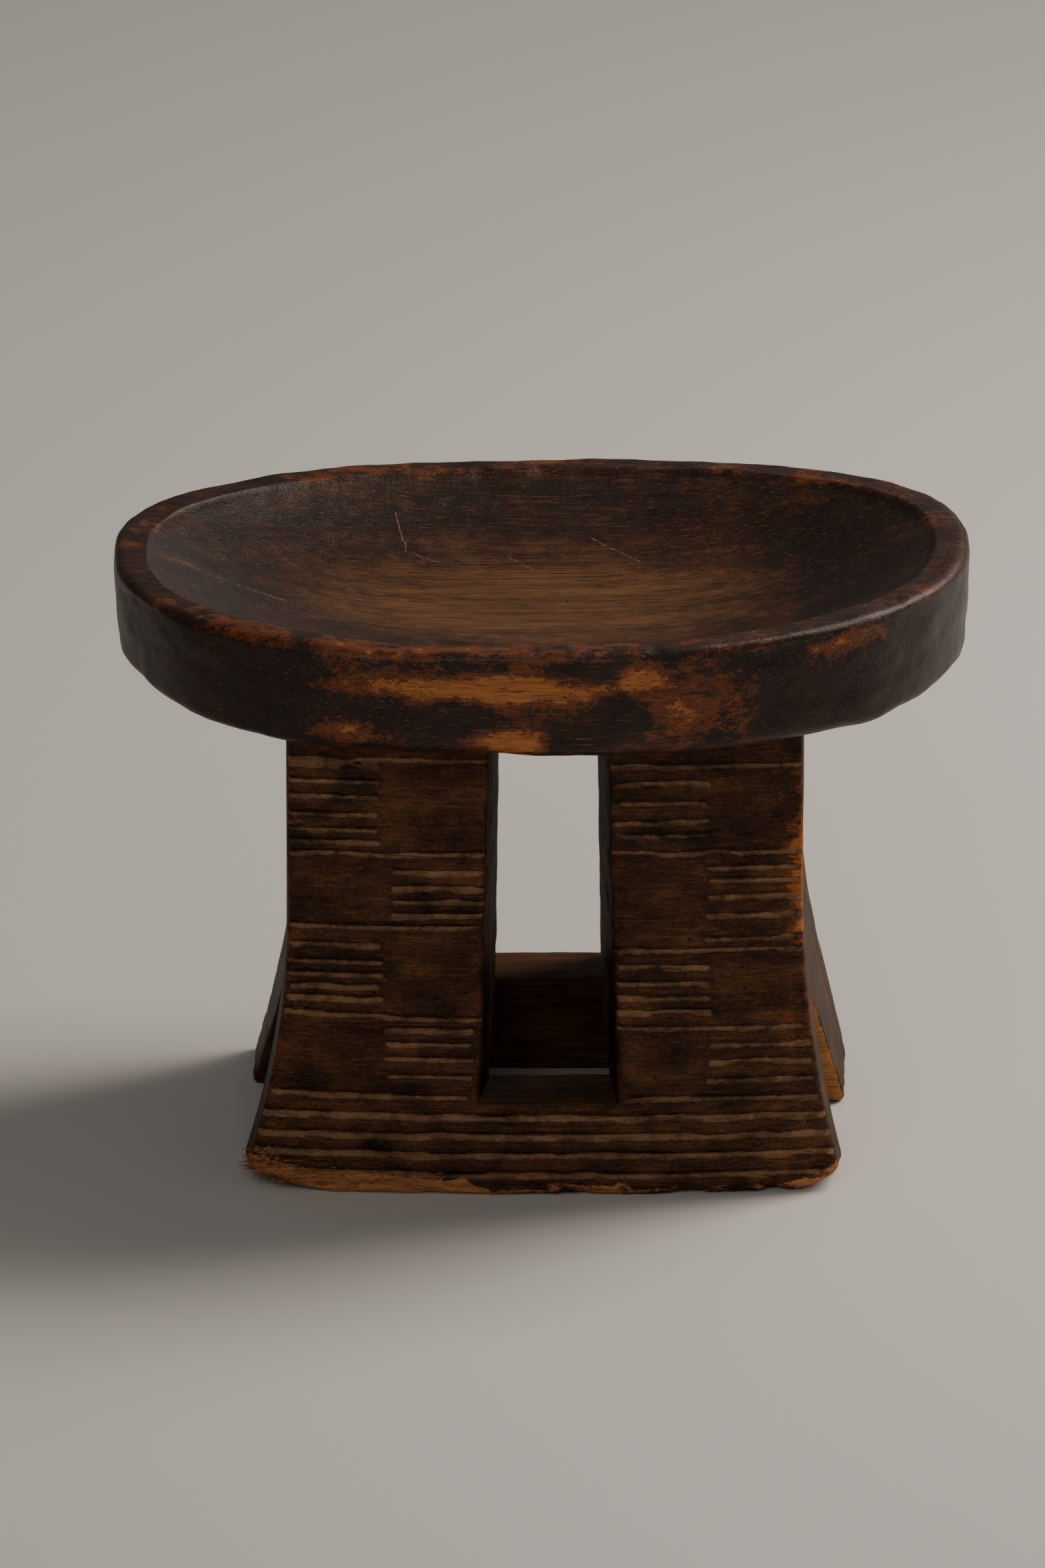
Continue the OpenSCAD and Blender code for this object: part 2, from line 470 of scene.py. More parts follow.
        # Beetles left round holes a millimetre wide, one here and there.
        spread = node("ShaderNodeMapping", {"Vector": mm, "Scale": (1 / self.hole_spacing,) * 3})
        nearest = node("ShaderNodeTexVoronoi", {"Vector": spread, "Scale": 1.0}).outputs["Distance"]
        hole = node(
            "ShaderNodeMapRange",
            {
                "Value": nearest,
                "From Min": self.hole_edge / self.hole_spacing,
                "From Max": self.hole_core / self.hole_spacing,
                "To Max": 0.95,
            },
        )
        colour = node(
            "ShaderNodeMix", {"Factor": hole, 6: colour, 7: linear(self.soot_and_shade)}, data_type="RGBA"
        )

        # Relief is specks, with fibres, holes and patches added at their own shares.
        height = grains["speck"]
        for source, share in ((grains["fibre"], 0.5), (hole, -1.2), (grains["patch"], 0.9)):
            inputs = {0: source, 1: share, 2: height}
            height = node("ShaderNodeMath", inputs, operation="MULTIPLY_ADD")

        for scratch in self.scratches:
            amount = scratch_amount(tree, mm, scratch)
            tint = self.soot_and_shade if scratch.dark else self.scratched
            colour = node(
                "ShaderNodeMix", {"Factor": amount, 6: colour, 7: linear(tint)}, data_type="RGBA"
            )
            height = node("ShaderNodeMath", {0: height, 1: amount}, operation="SUBTRACT")

        dry = node("ShaderNodeMath", {0: amounts["bare"], 1: amounts["dust"]}, operation="MAXIMUM")
        dry = node("ShaderNodeMath", {0: grains["patch"], 1: 0.6, 2: dry}, operation="MULTIPLY_ADD")
        spans = {"From Min": 0.15, "From Max": 1.3, "To Min": self.polish, "To Max": self.dull}
        roughness = node("ShaderNodeMapRange", {"Value": dry, **spans})
        bump = node(
            "ShaderNodeBump", {"Height": height, "Strength": self.relief, "Distance": 0.5 * MM}
        )
        shader = node(
            "ShaderNodeBsdfPrincipled",
            {
                "Base Color": colour,
                "Roughness": roughness,
                "IOR": 1.5,
                "Specular IOR Level": self.gloss,
                "Normal": bump,
            },
        )
        node("ShaderNodeOutputMaterial", {"Surface": shader})
        return material


def scratch_amount(
    tree: bpy.types.NodeTree, mm: bpy.types.Node, scratch: Scratch
) -> bpy.types.Node:
    """Adds the nodes that say how much of a scratch a point holds, seen from above.

    Args:
        tree: the material's nodes.
        mm: the node that gives the place in millimetres.
        scratch: where the scratch runs.

    Returns:
        A node whose output is 1 in the scratch and 0 beside it.
    """
    node = partial(add_node, tree)
    run = Vector((scratch.x1 - scratch.x0, scratch.y1 - scratch.y0, 0.0))
    start = (scratch.x0, scratch.y0, 0.0)
    flat = node("ShaderNodeVectorMath", {0: mm, 1: (1.0, 1.0, 0.0)}, operation="MULTIPLY")
    wave = node("ShaderNodeTexNoise", {"Vector": mm, "Scale": 0.22, "Detail": 2.0}).outputs["Color"]
    shift = node("ShaderNodeVectorMath", {0: wave, "Scale": 3.0}, operation="SCALE")
    flat = node("ShaderNodeVectorMath", {0: flat, 1: shift}, operation="ADD")
    flat = node("ShaderNodeVectorMath", {0: flat, 1: (1.5, 1.5, 1.5)}, operation="SUBTRACT")
    flat = node("ShaderNodeVectorMath", {0: flat, 1: (1.0, 1.0, 0.0)}, operation="MULTIPLY")
    offset = node("ShaderNodeVectorMath", {0: flat, 1: start}, operation="SUBTRACT")
    ways = {0: offset, 1: tuple(run / run.length_squared)}
    along = node("ShaderNodeVectorMath", ways, operation="DOT_PRODUCT")
    along = node("ShaderNodeClamp", {"Value": along.outputs["Value"]})
    nearest = node("ShaderNodeVectorMath", {0: tuple(run), "Scale": along}, operation="SCALE")
    gap = node("ShaderNodeVectorMath", {0: offset, 1: nearest}, operation="DISTANCE")
    line = node(
        "ShaderNodeMapRange",
        {
            "Value": gap.outputs["Value"],
            "From Min": scratch.width,
            "From Max": scratch.width * 0.4,
            "To Max": 0.7,
        },
    )
    skip = node("ShaderNodeTexNoise", {"Vector": mm, "Scale": 0.35, "Detail": 3.0})
    skip = node("ShaderNodeMapRange", {"Value": skip, "From Min": 0.38, "From Max": 0.56})
    return node("ShaderNodeMath", {0: line, 1: skip}, operation="MULTIPLY")


# ---------------------------------------------------------------------------------------------
# The dish
# ---------------------------------------------------------------------------------------------


class Zone(Enum):
    """Parts of the dish's cross-section, from the underside up and over the rim."""

    UNDERSIDE = 0.0
    WALL = 1.0
    RIM = 2.0
    HOLLOW = 3.0


@dataclass
class Dish:
    """The oval dish: a cross-section swept round a rounded outline, then worked over by hand."""

    rim_width: float = 13.5
    rim: float = 231.0
    hollow_depth: float = 28.0
    widest_back: float = 8.0
    end_rise: float = 2.5
    rim_lean: float = 2.5
    rim_tip: float = 1.5
    end_lift: float = 6.5
    foot_inset: float = 9.0
    foot_turn: float = 7.0
    wall_lean: float = 1.4
    rim_turn: float = 3.6
    lip_turn: float = 1.4
    segments: int = 560
    low: np.ndarray = field(default_factory=lambda: node_box("dish")[0])
    high: np.ndarray = field(default_factory=lambda: node_box("dish")[1])

    def __post_init__(self) -> None:
        """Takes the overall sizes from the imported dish."""
        self.half_length = (self.high[0] - self.low[0]) / 2
        self.half_depth = (self.high[1] - self.low[1]) / 2
        self.under = self.low[2]

    def outline(self) -> bpy.types.Object:
        """Makes the outline as a line of vertices that carry the sweep's numbers.

        Returns:
            A helper object whose vertices hold across_x, across_y, reach, rise and lift.
        """
        t = np.linspace(0.0, 2 * math.pi, self.segments + 1)
        front = np.sin(t) < 0
        square = np.where(front, 2.25, 2.45 - 0.1 * np.cos(t))
        across_x = signed_power(np.cos(t), 2 / square)
        across_y = signed_power(np.sin(t), 2 / square)
        reach = self.half_depth + np.where(front, self.widest_back, -self.widest_back)
        tip = self.rim_tip * (self.widest_back + reach * across_y) / self.half_depth
        rise = self.end_rise * across_x**2 + self.rim_lean * across_x - tip
        lift = self.end_lift * np.abs(across_x) ** 14
        columns = {"across_x": across_x, "across_y": across_y, "reach": reach}
        return carrier("dish_outline", {**columns, "rise": rise, "lift": lift})

    def profile(self) -> bpy.types.Object:
        """Makes the cross-section as a line of vertices that carry the sweep's numbers.

        Returns:
            A helper object whose vertices hold inset, share, height, rising, lifting and zone.
        """
        rows: list[tuple[float, ...]] = []
        quarter = math.pi / 2
        inner, leaning, turn_height = self.foot_inset, self.wall_lean, self.foot_turn
        for share in np.linspace(0.0, 1.0, 16)[:-1]:
            rows.append((inner, share, self.under, 0.0, share**4, Zone.UNDERSIDE.value))
        # The lower edge is a quarter turn, the wall leans out a little, and the rim is rounded off.
        for turn in np.linspace(0.0, quarter, 9):
            inset = inner - (inner - leaning) * math.sin(turn)
            height = self.under + turn_height * (1 - math.cos(turn))
            rows.append((inset, 1.0, height, 0.0, 1.0 - 0.35 * turn / quarter, Zone.WALL.value))
        wall_low, wall_high = self.under + turn_height, self.rim - self.rim_turn
        for part in np.linspace(0.0, 1.0, 24)[1:]:
            inset, height = leaning * (1 - part) ** 1.7, wall_low + (wall_high - wall_low) * part
            rows.append((inset, 1.0, height, part**2, 0.65 * (1 - part) ** 1.5, Zone.WALL.value))
        for turn in np.linspace(0.0, quarter, 8)[1:]:
            inset = self.rim_turn * (1 - math.cos(turn))
            height = wall_high + self.rim_turn * math.sin(turn)
            rows.append((inset, 1.0, height, 1.0, 0.0, Zone.RIM.value))
        flat = self.rim_width - self.lip_turn - self.rim_turn
        for part in np.linspace(0.0, 1.0, 9)[1:]:
            inset, height = self.rim_turn + flat * part, self.rim - 0.3 * part
            rows.append((inset, 1.0, height, 1.0, 0.0, Zone.RIM.value))
        for turn in np.linspace(0.0, 1.0, 5)[1:]:
            inset = self.rim_width - self.lip_turn * (1 - turn)
            height = self.rim - 0.3 - 0.9 * turn**2
            rows.append((inset, 1.0, height, 1.0, 0.0, Zone.RIM.value))
        for share in np.linspace(1.0, 0.0, 70)[1:]:
            drop = 1.2 + (self.hollow_depth - 1.2) * (1 - share**2.8)
            rows.append((self.rim_width, share, self.rim - drop, share**2, 0.0, Zone.HOLLOW.value))
        names = ("inset", "share", "height", "rising", "lifting", "zone")
        return carrier("dish_profile", dict(zip(names, np.array(rows).T)))

    def sweep_tree(self) -> bpy.types.NodeTree:
        """Builds the geometry nodes that sweep the cross-section round the outline.

        Returns:
            A node tree whose input geometry is the cross-section.
        """
        sockets = {"Profile": "Geometry", "Outline": "Object", "Half Length": "Float"}
        sockets |= {"Centre Back": "Float", "Unit": "Float", "Material": "Material"}
        tree = new_tree("sweep_dish", sockets, "Dish")
        node = partial(add_node, tree)
        start = node("NodeGroupInput").outputs
        outline = node("GeometryNodeObjectInfo", {"Object": start["Outline"]}).outputs["Geometry"]
        rings = node("GeometryNodeAttributeDomainSize", {"Geometry": start["Profile"]}).outputs[0]
        turns = node("GeometryNodeAttributeDomainSize", {"Geometry": outline}).outputs[0]
        grid = node("GeometryNodeMeshGrid", {"Vertices X": turns, "Vertices Y": rings})
        index = node("GeometryNodeInputIndex")
        ring = node("ShaderNodeMath", {0: index, 1: rings}, operation="MODULO")
        turn = node("ShaderNodeMath", {0: index, 1: 0.5}, operation="ADD")
        turn = node("ShaderNodeMath", {0: turn, 1: rings}, operation="DIVIDE")
        turn = node("ShaderNodeMath", {0: turn}, operation="FLOOR")

        read: dict[str, bpy.types.Node] = {}
        for geometry, at, names in (
            (start["Profile"], ring, ("inset", "share", "height", "rising", "lifting", "zone")),
            (outline, turn, ("across_x", "across_y", "reach", "rise", "lift")),
        ):
            for name in names:
                value = node("GeometryNodeInputNamedAttribute", {"Name": name}, data_type="FLOAT")
                read[name] = node(
                    "GeometryNodeSampleIndex",
                    {"Geometry": geometry, "Value": value, "Index": at},
                    data_type="FLOAT",
                    domain="POINT",
                )
        # Along each axis: (reach - inset) * across, with the widest place's shift, times share.
        places: dict[str, bpy.types.Node] = {}
        for axis, reach, shift in (
            ("X", start["Half Length"], 0.0),
            ("Y", read["reach"], start["Centre Back"]),
        ):
            way = node("ShaderNodeMath", {0: reach, 1: read["inset"]}, operation="SUBTRACT")
            across = read["across_" + axis.lower()]
            way = node("ShaderNodeMath", {0: way, 1: across, 2: shift}, operation="MULTIPLY_ADD")
            places[axis] = node("ShaderNodeMath", {0: way, 1: read["share"]}, operation="MULTIPLY")
        z = read["height"]
        for share, amount in (("rising", "rise"), ("lifting", "lift")):
            inputs = {0: read[share], 1: read[amount], 2: z}
            z = node("ShaderNodeMath", inputs, operation="MULTIPLY_ADD")
        position = node("ShaderNodeCombineXYZ", {**places, "Z": z})
        to_metres = {0: position, "Scale": start["Unit"]}
        metres = node("ShaderNodeVectorMath", to_metres, operation="SCALE")
        swept = node("GeometryNodeSetPosition", {"Geometry": grid, "Position": metres})
        zoned = node(
            "GeometryNodeStoreNamedAttribute",
            {"Geometry": swept, "Name": "zone", "Value": read["zone"]},
            data_type="FLOAT",
            domain="POINT",
        )
        closed = node("GeometryNodeMergeByDistance", {"Geometry": zoned, "Distance": 0.002 * MM})
        whole = node("GeometryNodeRealizeInstances", {"Geometry": closed})
        dressing = {"Geometry": whole, "Material": start["Material"]}
        dressed = node("GeometryNodeSetMaterial", dressing)
        node("NodeGroupOutput", {"Dish": dressed})
        return tree

    def blank(self, material: bpy.types.Material) -> bpy.types.Mesh:
        """Sweeps the smooth dish.

        Args:
            material: the dish's wood.

        Returns:
            A closed mesh with its faces outward and a zone number on each vertex.
        """
        outline, profile = self.outline(), self.profile()
        values = {
            "Outline": outline,
            "Half Length": self.half_length,
            "Centre Back": self.widest_back,
            "Unit": MM,
            "Material": material,
        }
        mesh = run_tree(profile, self.sweep_tree(), values)
        for helper in (outline, profile):
            bpy.data.objects.remove(helper)
        shell = bmesh.new()
        shell.from_mesh(mesh)
        bmesh.ops.recalc_face_normals(shell, faces=shell.faces[:])
        shell.to_mesh(mesh)
        shell.free()
        return mesh

    def carve(self, mesh: bpy.types.Mesh) -> None:
        """Works the smooth dish over: tool marks, dents, chips, wear, handled wood and painted shade.

        Args:
            mesh: the swept dish, changed in place.
        """
        p, n, zone = get_points(mesh), get_normals(mesh), get_attribute(mesh, "zone")
        x, y, z = p.T
        wall = smoothstep(0.5, 1.0, zone) * (zone < 1.5)
        rim = ((zone > 1.5) & (zone < 2.5)).astype(float)
        hollow = (zone > 2.5).astype(float)
        middle = self.widest_back * np.clip(1 - np.abs(y) / self.half_depth, 0, 1)
        radius = np.hypot(x / self.half_length, (y - middle) / self.half_depth)

        # The outline wavers by under a millimetre, the wall keeps flat adze facets.
        wobble = wander((x, y, z * 0), (46, 46, 46), 11, 2) * 0.7
        facets = wander((x, y, z), (19, 19, 10), 12, 2) * 0.45
        fine = wander((x, y, z), (5, 5, 4), 13, 2) * 0.12
        gouge = wander((x, y, z), (60, 10, 30), 14, 2) * 0.3 * hollow * smoothstep(1.0, 0.8, radius)
        p = p + n * ((wall + 0.6 * rim) * (wobble + facets) + fine + gouge)[:, None]
        p[:, 2] += wander((x, y, z * 0), (24, 24, 24), 15, 2) * 0.45 * rim
        for centre, size, depth in self.dents():
            offset = (p - np.array(centre)) / np.array(size)
            p[:, 2] -= depth * np.exp(-np.sum(offset**2, axis=1) * 2.0)
        # The marks push the outline in and out a little, so it is brought back to its own size.
        for axis in range(3):
            low, high = p[:, axis].min(), p[:, axis].max()
            share = (p[:, axis] - low) / (high - low)
            p[:, axis] = self.low[axis] + share * (self.high[axis] - self.low[axis])
        p = p * 0.9999
        put_points(mesh, p)

        front = smoothstep(-35.0, -85.0, y) * wall
        wear = 0.11 * front * smoothstep(120.0, 70.0, np.abs(x + 4)) - 0.05 * wall
        for at_x, at_z, reach_x, reach_z, amount in self.rubs():
            away = ((x - at_x) / reach_x) ** 2 + ((z - at_z) / reach_z) ** 2
            wear = wear + amount * front * np.exp(-away)
        outer_edge = np.exp(-(((zone - 1.5) / 0.6) ** 2))
        outer_edge = outer_edge * smoothstep(self.rim - 8, self.rim - 1, z)
        patchy = 0.5 + 0.5 * wander((x, y, 0.5), (30, 30, 1), 17, 2)
        wear = wear + outer_edge * (0.02 + 0.15 * patchy) + rim * 0.04 * patchy
        rim_front = rim * smoothstep(-60.0, -100.0, y)
        wear = wear + rim_front * smoothstep(80.0, 45.0, np.abs(x + 22)) * 0.09
        wear = wear + rim * smoothstep(60.0, 100.0, y) * 0.04
        centre = np.hypot((x + 2) / 118, (y - 16) / 66)
        used = hollow * smoothstep(1.15, 0.2, centre) + 0.08 * rim
        used = used + hollow * 0.25 * smoothstep(1.0, 0.9, radius) * smoothstep(0.7, 0.9, radius)
        # Painted shade on the hollow's right side and on its front slope. The hollow is also darker
        # towards its sides and at its left end, the rim a little darker, and the outer wall darker,
        # most towards its ends.
        shade = hollow * (0.15 * smoothstep(75.0, 130.0, x) + 0.05 * smoothstep(0.5, 0.8, radius))
        shade = shade + hollow * 0.04 * smoothstep(-80.0, -130.0, x)
        shade = shade + hollow * 0.06 * smoothstep(-50.0, -90.0, y) + 0.03 * rim
        shade = shade + wall * (0.05 + 0.06 * smoothstep(60.0, 120.0, np.abs(x)))
        none = np.zeros(len(p))
        set_attributes(mesh, wear=wear, used=used, shade=shade, groove=none, bare=none)

    def rubs(self) -> list[tuple[float, float, float, float, float]]:
        """Lists the front wall's worn places as x, z, reaches and strength; dark is below 0."""
        return [
            (-14.0, 217.5, 46.0, 6.5, 0.36),
            (-62.0, 217.0, 26.0, 5.0, 0.07),
            (39.0, 222.0, 11.0, 5.0, 0.26),
            (-11.0, 195.0, 15.0, 7.0, 0.30),
            (-72.0, 197.0, 13.0, 4.5, 0.22),
            (56.0, 203.0, 24.0, 9.0, 0.14),
            (118.0, 226.0, 22.0, 6.0, 0.20),
            (-33.0, 205.5, 11.0, 6.0, -0.26),
            (30.0, 207.0, 9.0, 8.0, -0.26),
            (22.0, 227.0, 9.0, 4.5, -0.26),
            (-64.0, 208.0, 12.0, 5.0, -0.14),
        ]

    def dents(self) -> list[tuple[tuple[float, float, float], tuple[float, float, float], float]]:
        """Lists the rim's small losses as centre, size and depth."""
        top = self.rim
        return [
            ((1.0, 105.0, top), (4.0, 3.0, 9.0), 2.2),
            ((-23.0, 104.0, top), (3.5, 3.0, 9.0), 1.6),
            ((-1.0, -115.0, top), (3.0, 3.5, 9.0), 1.4),
            ((43.0, -112.0, top), (2.5, 3.0, 9.0), 1.2),
            ((137.0, -64.0, top), (3.0, 3.0, 9.0), 1.2),
        ]

    def build(self, wood: CarvedHardwood) -> None:
        """Makes the dish and puts it in the scene.

        Args:
            wood: the dish's finish.
        """
        mesh = self.blank(wood.build())
        self.carve(mesh)
        mesh.shade_smooth()
        place(mesh, "dish_carved", ["dish"])


# ---------------------------------------------------------------------------------------------
# The stand
# ---------------------------------------------------------------------------------------------


@dataclass(frozen=True)
class CutLine:
    """One incised line on the front or back face, from one x and z to another."""

    x0: float
    x1: float
    z0: float
    z1: float
    width: float = 2.3
    depth: float = 1.2
    dust: float = 1.0


@dataclass
class Volume:
    """A box of sample points, with the distance to the wood's surface at each of them."""

    low: np.ndarray
    high: np.ndarray
    step: float

    def __post_init__(self) -> None:
        """Lays out the sample points along each axis."""
        spans = zip(self.low, self.high)
        axes = [np.arange(a, b + self.step, self.step, dtype=np.float32) for a, b in spans]
        self.x = axes[0][:, None, None]
        self.y = axes[1][None, :, None]
        self.z = axes[2][None, None, :]
        self.origin = np.array([axis[0] for axis in axes])

    def sample(self, values: np.ndarray, points: np.ndarray) -> np.ndarray:
        """Reads a sampled field between its points.

        Args:
            values: the field, of one sample per point or of one where it doesn't vary.
            points: where to read it, one row each.

        Returns:
            One value per point.
        """
        place_at = (points - self.origin) / self.step
        total = np.zeros(len(points), np.float32)
        base, part = [], []
        for axis in range(3):
            size = values.shape[axis]
            # A field that doesn't vary along an axis has one sample there.
            at = np.clip(place_at[:, axis], 0, max(size - 1.001, 0))
            base.append(at.astype(np.int64))
            part.append((at - base[-1]).astype(np.float32))
        for corner in itertools.product((0, 1), repeat=3):
            if any(c and values.shape[axis] == 1 for axis, c in enumerate(corner)):
                continue
            weight = np.ones(len(points), np.float32)
            for axis, c in enumerate(corner):
                weight = weight * (part[axis] if c else 1 - part[axis])
            total += weight * values[base[0] + corner[0], base[1] + corner[1], base[2] + corner[2]]
        return total

    def mend(self, values: np.ndarray) -> None:
        """Fills the few samples where two bits of wood would only touch along an edge.

        Args:
            values: the field, negative inside the wood, changed in place.
        """
        for u, v in ((0, 1), (1, 2), (0, 2)):
            corners = []
            for step_u, step_v in ((0, 0), (1, 1), (0, 1), (1, 0)):
                part = [slice(None)] * 3
                part[u] = slice(step_u, values.shape[u] - 1 + step_u)
                part[v] = slice(step_v, values.shape[v] - 1 + step_v)
                corners.append(values[tuple(part)])
            a, b, c, d = corners
            c[(a < 0) & (b < 0) & (c >= 0) & (d >= 0)] = -0.05
            a[(a >= 0) & (b >= 0) & (c < 0) & (d < 0)] = -0.05

    def skin(self, values: np.ndarray) -> tuple[np.ndarray, np.ndarray]:
        """Lays a skin of four-sided faces over the surface where a field crosses zero.

        Args:
            values: the field, negative inside the wood.

        Returns:
            The skin's vertices and its faces, which point outwards.
        """
        inside = values < 0
        shape = np.array(values.shape) - 1
        count = np.zeros(shape, np.uint8)
        corners = list(itertools.product((0, 1), repeat=3))
        for c in corners:
            count += inside[c[0] : c[0] + shape[0], c[1] : c[1] + shape[1], c[2] : c[2] + shape[2]]
        mixed = (count > 0) & (count < 8)
        number = np.full(shape, -1, np.int64)
        number[mixed] = np.arange(np.count_nonzero(mixed))
        cells = np.argwhere(mixed)
        total = np.zeros((len(cells), 3))
        hits = np.zeros(len(cells))
        for a in corners:
            for axis in range(3):
                if a[axis]:
                    continue
                b = list(a)
                b[axis] = 1
                va = values[tuple((cells + a).T)]
                vb = values[tuple((cells + b).T)]
                cross = (va < 0) != (vb < 0)
                t = np.where(cross, va / np.where(cross, va - vb, 1.0), 0.0)
                point = np.array(a, float) + np.outer(t, np.array(b) - np.array(a))
                total += point * cross[:, None]
                hits += cross
        points = (cells + total / hits[:, None]) * self.step + self.origin
        faces = []
        for axis in range(3):
            first = [slice(1, -1)] * 3
            second = [slice(1, -1)] * 3
            first[axis] = slice(0, -1)
            second[axis] = slice(1, None)
            a, b = inside[tuple(first)], inside[tuple(second)]
            start = np.array([0 if k == axis else 1 for k in range(3)])
            u, v = (axis + 1) % 3, (axis + 2) % 3
            step_u, step_v = np.eye(3, dtype=np.int64)[u], np.eye(3, dtype=np.int64)[v]
            for outward, edge in ((True, a & ~b), (False, ~a & b)):
                at = np.argwhere(edge) + start
                ring = [at - step_u - step_v, at - step_v, at, at - step_u]
                quad = np.stack([number[tuple(r.T)] for r in ring], axis=1)
                faces.append(quad if outward else quad[:, ::-1])
        return points, np.concatenate(faces)


@dataclass
class Stand:
    """The pierced, flared stand: two posts, two sills and four feet in one block."""

    sill_depth: float = 32.0
    face_bow: float = 7.5
    arch_middle: float = -9.0
    arch_width: float = 72.0
    arch_height: float = 66.0
    arch_lead: float = 19.0
    arch_turn: float = -5.0
    window_middle: float = 2.7
    mouth_top: float = 45.0
    mouth_bottom: float = 54.0
    waist_top: float = 37.4
    waist_bottom: float = 41.5
    waist_reach: float = 30.0
    left_draws_in: float = 4.2
    right_goes_out: float = 2.6
    front_sill_extra: float = 3.0
    step: float = 1.03

    def __post_init__(self) -> None:
        """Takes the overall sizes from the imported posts, sills and feet."""
        post_low, post_high = node_box("left_post")
        foot_low, _ = node_box("front_left_foot")
        _, sill_high = node_box("front_sill")
        self.top = post_high[2]
        self.half_depth = (post_high[1] - post_low[1]) / 2
        self.half_foot = -foot_low[0]
        self.sill_height = sill_high[2]
        self.split_left = self.window_middle - self.mouth_bottom / 2 - 2.0
        self.split_right = self.window_middle + self.mouth_bottom / 2 + 2.0

    def reach(self, x: np.ndarray) -> np.ndarray:
        """Half depth of the stand at x: both faces bow out over their width."""
        return self.half_depth - self.face_bow * (x / self.half_foot) ** 2

    def half_width(self, z: np.ndarray, right: bool) -> np.ndarray:
        """Half width of the stand at height z, flaring towards the floor.

        Args:
            z: height above the floor.
            right: True for the right side, which flares a little earlier.

        Returns:
            Distance from the middle to that side.
        """
        start, flare, height = (99.6, 16.8, 125.0) if right else (97.2, 18.4, 112.0)
        return start + flare * np.clip(1 - z / height, 0, 1.2) ** 1.9

    def front_lines(self) -> list[CutLine]:
        """Lists the incised lines of the front face, block by block."""
        lines: list[CutLine] = []
        blocks = [
            (-98.0, -61.0, (174.3, 167.8, 161.5, 154.4, 147.9, 143.3), 0.94),
            (-57.5, -21.0, (131.4, 125.0, 119.4, 113.9), 1.12),
            (-98.0, -60.0, (101.3, 94.5, 89.6, 84.2, 79.5), 1.1),
            (-61.0, -25.0, (67.4, 61.4, 55.1, 48.0), 1.0),
            (27.0, 65.0, (166.9, 159.2, 151.8, 146.1), 0.92),
            (62.0, 100.5, (132.7, 127.5, 120.7, 113.3, 104.0), 0.97),
            (27.0, 66.0, (93.0, 86.2, 80.4, 74.7), 1.0),
            (63.0, 104.0, (60.7, 53.7, 46.6), 0.96),
        ]
        for x0, x1, heights, dust in blocks:
            lines += [CutLine(x0, x1, z, z, dust=dust) for z in heights]
        spans = [
            (-99.0, -19.0, ((176.4, 176.6), (138.2, 139.0), (108.6, 109.4), (74.1, 71.1))),
            (24.0, 101.0, ((174.6, 173.8), (139.5, 138.6), (100.0, 99.0), (68.3, 67.0))),
            (-104.0, -27.0, ((41.1, 39.2),)),
            (31.0, 107.0, ((39.4, 38.6),)),
        ]
        for x0, x1, heights in spans:
            lines += [CutLine(x0, x1, z0, z1, 2.2, 1.1, 1.02) for z0, z1 in heights]
        low = (32.2, 24.3, 16.6, 8.6)
        lines += [CutLine(-111.0, 113.0, z, z - 0.8, 2.7, 1.3, 1.06) for z in low]
        return lines

    def cut_map(
        self, volume: Volume, lines: Sequence[CutLine], seed: int
    ) -> tuple[np.ndarray, ...]:
        """Draws the incised lines of one face as a map of depths.

        Args:
            volume: gives the sample points.
            lines: the lines to draw.
            seed: makes each face's lines waver in their own way.

        Returns:
            The depth of cut, the dust that lies in it and a painted shadow line along its upper
            edge, over x and z.
        """
        x, z = volume.x, volume.z
        depth = np.zeros((x.size, 1, z.size), np.float32)
        mark = np.zeros_like(depth)
        soot_and_shade = np.zeros_like(depth)
        for number, line in enumerate(lines):
            own = seed + 7 * number
            along = np.clip((x - line.x0) / (line.x1 - line.x0), 0, 1)
            ends = wander((number, own, 0.5), (1, 1, 1), own) * 1.2
            middle = line.z0 + (line.z1 - line.z0) * along
            middle = middle + 0.45 * wander((x, own, 0.5), (17, 1, 1), own, 2)
            half = line.width / 2 * (1 + 0.14 * wander((x, own, 3.5), (9, 1, 1), own, 2))
            taper = smoothstep(line.x0 - 1 + ends, line.x0 + 2 + ends, x)
            taper = taper * smoothstep(line.x1 + 1 - ends, line.x1 - 2 - ends, x)
            strength = taper * (0.95 + 0.25 * wander((x, own, 6.5), (13, 1, 1), own, 2))
            shape = np.clip(1 - np.abs((z - middle) / half) ** 3, 0, 1) * strength
            depth = np.maximum(depth, shape * line.depth)
            dust = line.dust * (1 + 0.13 * wander((x, own, 9.5), (7, 1, 1), own, 3))
            lies = np.clip(1.9 - 1.25 * np.abs((z + 0.25 - middle) / half) ** 2, 0, 1)
            mark = np.maximum(mark, lies * taper * dust)
            # A painted shadow line runs along the upper edge of each cut.
            soot_and_shade = np.maximum(soot_and_shade, np.exp(-(((z - middle - half) / 0.6) ** 2)) * taper)
        return depth, mark, soot_and_shade

    def arch(self, x: np.ndarray, y: np.ndarray, z: np.ndarray) -> np.ndarray:
        """Distance to the arch that parts the front feet from the back feet.

        Args:
            x: place along the stand.
            y: place from front to back.
            z: height.

        Returns:
            The distance, negative inside the arch.
        """
        turn = math.radians(self.arch_turn)
        across = y * math.cos(turn) - x * math.sin(turn)
        crown = self.arch_middle - self.arch_lead
        back = self.arch_middle + self.arch_width / 2 - crown
        front = crown - (self.arch_middle - self.arch_width / 2)
        behind = across > crown
        power = np.where(behind, 1.25, 2.86)
        a = np.abs(across - crown) / np.where(behind, back, front) + 1e-4
        b = np.clip(z, 0.5, None) / self.arch_height
        size = (a**power + b**power) ** (1 / power)
        slope_a = (a / size) ** (power - 1) / np.where(behind, back, front)
        slope_b = (b / size) ** (power - 1) / self.arch_height
        return (size - 1) / np.hypot(slope_a, slope_b)

